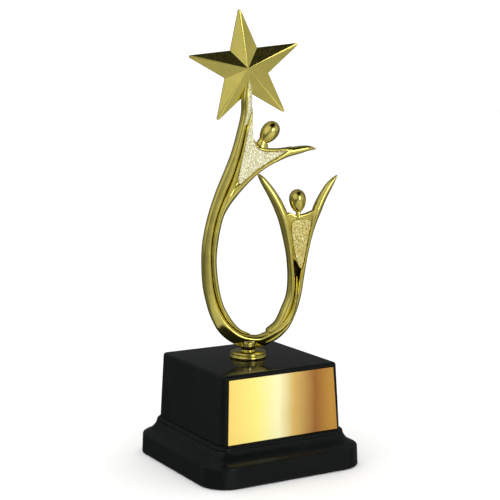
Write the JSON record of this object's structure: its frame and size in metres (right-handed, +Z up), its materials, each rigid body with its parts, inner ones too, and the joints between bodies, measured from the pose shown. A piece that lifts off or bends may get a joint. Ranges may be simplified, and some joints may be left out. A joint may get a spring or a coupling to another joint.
{
  "type": "star trophy",
  "caption": "Award trophy: two cast abstract figures and a ribbon rising from an oval loop to a faceted star, on a collar and a hollow black plinth with an engraving plate.",
  "frame": {"origin": "centre of the felt pad's underside, on the surface the trophy stands on", "axes": "+Z up, front of the plinth with its engraving plate towards -Y, +X to the right seen from the front"},
  "size_m": [0.12, 0.12, 0.3074],
  "materials": {
    "gloss_black": "moulded gloss black, mirror-like",
    "cast_iron": "rough cast, blacked",
    "hardboard": "dark pressed board",
    "zinc_steel": "bright zinc plate",
    "felt": "dark green wool felt",
    "plate_gold": "gold anodised, fine vertical brushing, satin",
    "foam_tape": "white foam",
    "gold_collar": "polished gold plate, turned",
    "gold_cast": "polished gold plate over a casting",
    "frosted_gold": "sparkling frosted, grained",
    "gold_star": "satin gold plate on flat facets"
  },
  "bodies": {
    "root": {"plinth_block": "gloss_black", "plinth_skirt": "gloss_black", "ballast_plate": "cast_iron", "base_cover": "hardboard", "cover_screws": "zinc_steel", "felt_pad": "felt", "engraving_plate": "plate_gold", "plate_tape": "foam_tape", "collar": "gold_collar", "centre_rod": "zinc_steel", "flat_washer": "zinc_steel", "lock_washer": "zinc_steel", "hex_nut": "zinc_steel", "ribbon": "gold_cast", "tall_figure_body": "gold_cast", "tall_figure_head": "gold_cast", "tall_figure_inlay": "frosted_gold", "small_figure_body": "gold_cast", "small_figure_head": "gold_cast", "small_figure_inlay": "frosted_gold", "head_pins": "zinc_steel", "star_front": "gold_star", "star_back": "gold_star", "star_rivet": "gold_star"}
  },
  "joints": []
}
